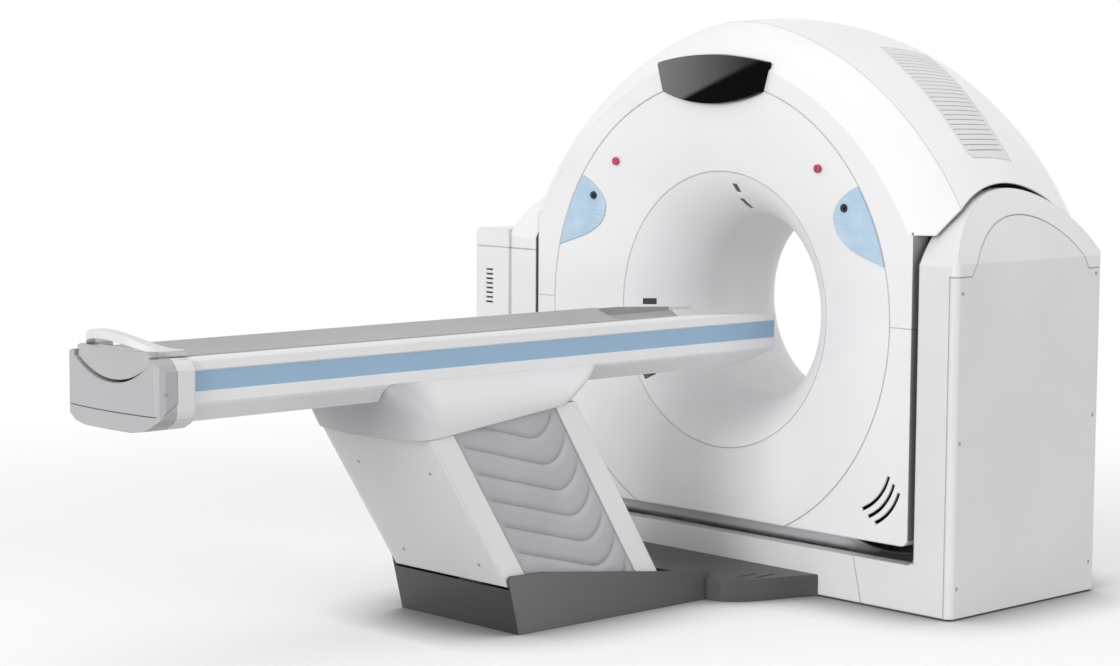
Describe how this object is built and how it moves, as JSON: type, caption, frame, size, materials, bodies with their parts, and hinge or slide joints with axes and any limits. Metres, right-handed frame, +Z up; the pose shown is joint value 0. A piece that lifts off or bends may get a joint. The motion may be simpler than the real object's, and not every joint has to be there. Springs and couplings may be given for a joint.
{
  "type": "ct scanner",
  "caption": "Medical ring scanner: a tilting gantry with a flared bore between two pivot towers, and a patient table on a parallelogram lift with a sliding cradle.",
  "frame": {"origin": "on the floor, straight below the isocentre, where the bore axis meets the tilt axis", "axes": "+X across the gantry to the right tower as seen from the table, +Y along the bore away from the table, +Z up"},
  "size_m": [2.364, 3.357, 1.9871],
  "materials": {
    "beam_panel": "satin",
    "bellows_fabric": "matte",
    "cap_grey": "satin",
    "copper_slots": "satin",
    "cradle_shell": "satin",
    "dark_base": "satin",
    "display_glass": "gloss",
    "frame_steel": "satin",
    "grey_panel": "satin",
    "grille_grey": "satin",
    "key_black": "satin",
    "machined_steel": "brushed",
    "pad_membrane": "satin",
    "rotor_aluminium": "satin",
    "smoked_window": "gloss",
    "stop_red": "gloss",
    "tube_housing": "satin",
    "white_shell": "satin",
    "window_film": "gloss"
  },
  "bodies": {
    "stand": {"base_frame": "dark_base", "front_sill_cover": "white_shell", "rear_sill_cover": "white_shell", "right_tower_frame": "frame_steel", "left_tower_frame": "frame_steel", "pivot_bearings": "machined_steel", "right_tower_cover": "white_shell", "right_side_panel": "grey_panel", "left_tower_cover": "white_shell", "left_tower_cap": "white_shell", "side_cabinet": "white_shell", "cabinet_lid": "white_shell", "tilt_gearmotor": "tube_housing", "table_base": "dark_base", "floor_connection_cover": "dark_base", "base_pins": "machined_steel", "lift_gearmotor": "tube_housing"},
    "gantry_head": {"tilt_frame": "frame_steel", "front_dish_cover": "white_shell", "bore_funnel": "white_shell", "bore_window": "window_film", "bore_liner": "white_shell", "arch_front_cover": "white_shell", "arch_top_cover": "white_shell", "right_corner_cover": "white_shell", "left_corner_cover": "white_shell", "rear_cover": "white_shell", "right_vent_grille": "grille_grey", "left_vent_grille": "grille_grey", "display_lens": "display_glass", "right_control_pad": "pad_membrane", "left_control_pad": "pad_membrane", "laser_windows": "smoked_window", "bearing_outer_ring": "machined_steel", "drive_stator": "copper_slots", "brush_block": "copper_slots"},
    "rotor": {"rotor_drum": "rotor_aluminium", "bearing_inner_ring": "machined_steel", "slip_ring": "copper_slots", "xray_tube": "tube_housing", "collimator": "tube_housing", "detector_arc": "rotor_aluminium", "voltage_generator": "tube_housing", "counterweight": "machined_steel"},
    "right_stop": {"right_stop_button": "stop_red"},
    "left_stop": {"left_stop_button": "stop_red"},
    "right_key": {"right_pad_key": "key_black"},
    "left_key": {"left_pad_key": "key_black"},
    "front_link": {"front_arm": "frame_steel", "front_arm_cover": "grey_panel", "right_bellows": "bellows_fabric", "left_bellows": "bellows_fabric"},
    "rear_link": {"rear_arm": "frame_steel", "rear_arm_cover": "grey_panel"},
    "carriage": {"table_saddle": "white_shell", "saddle_pins": "machined_steel", "table_beam": "beam_panel", "foot_cap": "cap_grey"},
    "cradle_slide": {"cradle": "cradle_shell", "cradle_handle": "cradle_shell"}
  },
  "joints": [
    {"name": "gantry_tilt", "type": "hinge", "parent": "stand", "child": "gantry_head", "pos_m": [0, 0, 0.95], "axis": [-1, 0, 0], "range_deg": [-30, 30]},
    {"name": "rotor_spin", "type": "hinge", "parent": "gantry_head", "child": "rotor", "pos_m": [0, 0, 0.95], "axis": [0, 1, 0], "continuous": true},
    {"name": "front_lift", "type": "hinge", "parent": "stand", "child": "front_link", "pos_m": [0, -1.605, 0.19], "axis": [-1, 0, 0], "range_deg": [-46, 0], "deforming": ["right_bellows", "left_bellows"]},
    {"name": "rear_lift", "type": "hinge", "parent": "stand", "child": "rear_link", "pos_m": [0, -1.041, 0.19], "axis": [-1, 0, 0], "range_deg": [-46, 0]},
    {"name": "carriage_level", "type": "hinge", "parent": "front_link", "child": "carriage", "pos_m": [0, -1.93683, 0.71491], "axis": [-1, 0, 0], "range_deg": [0, 46]},
    {"name": "cradle_travel", "type": "slide", "parent": "carriage", "child": "cradle_slide", "axis": [0, 1, 0], "range_m": [0, 1.6]},
    {"name": "right_stop_press", "type": "slide", "parent": "gantry_head", "child": "right_stop", "axis": [0, 1, 0], "range_m": [0, 0.004], "stiffness_N_per_m": 800, "springref_m": -0.003},
    {"name": "right_key_press", "type": "slide", "parent": "gantry_head", "child": "right_key", "axis": [0, 1, 0], "range_m": [0, 0.003], "stiffness_N_per_m": 600, "springref_m": -0.002},
    {"name": "left_stop_press", "type": "slide", "parent": "gantry_head", "child": "left_stop", "axis": [0, 1, 0], "range_m": [0, 0.004], "stiffness_N_per_m": 800, "springref_m": -0.003},
    {"name": "left_key_press", "type": "slide", "parent": "gantry_head", "child": "left_key", "axis": [0, 1, 0], "range_m": [0, 0.003], "stiffness_N_per_m": 600, "springref_m": -0.002}
  ],
  "couplings": [
    {"joint": "rear_lift", "follows": "front_lift", "ratio": 1},
    {"joint": "carriage_level", "follows": "front_lift", "ratio": -1}
  ]
}
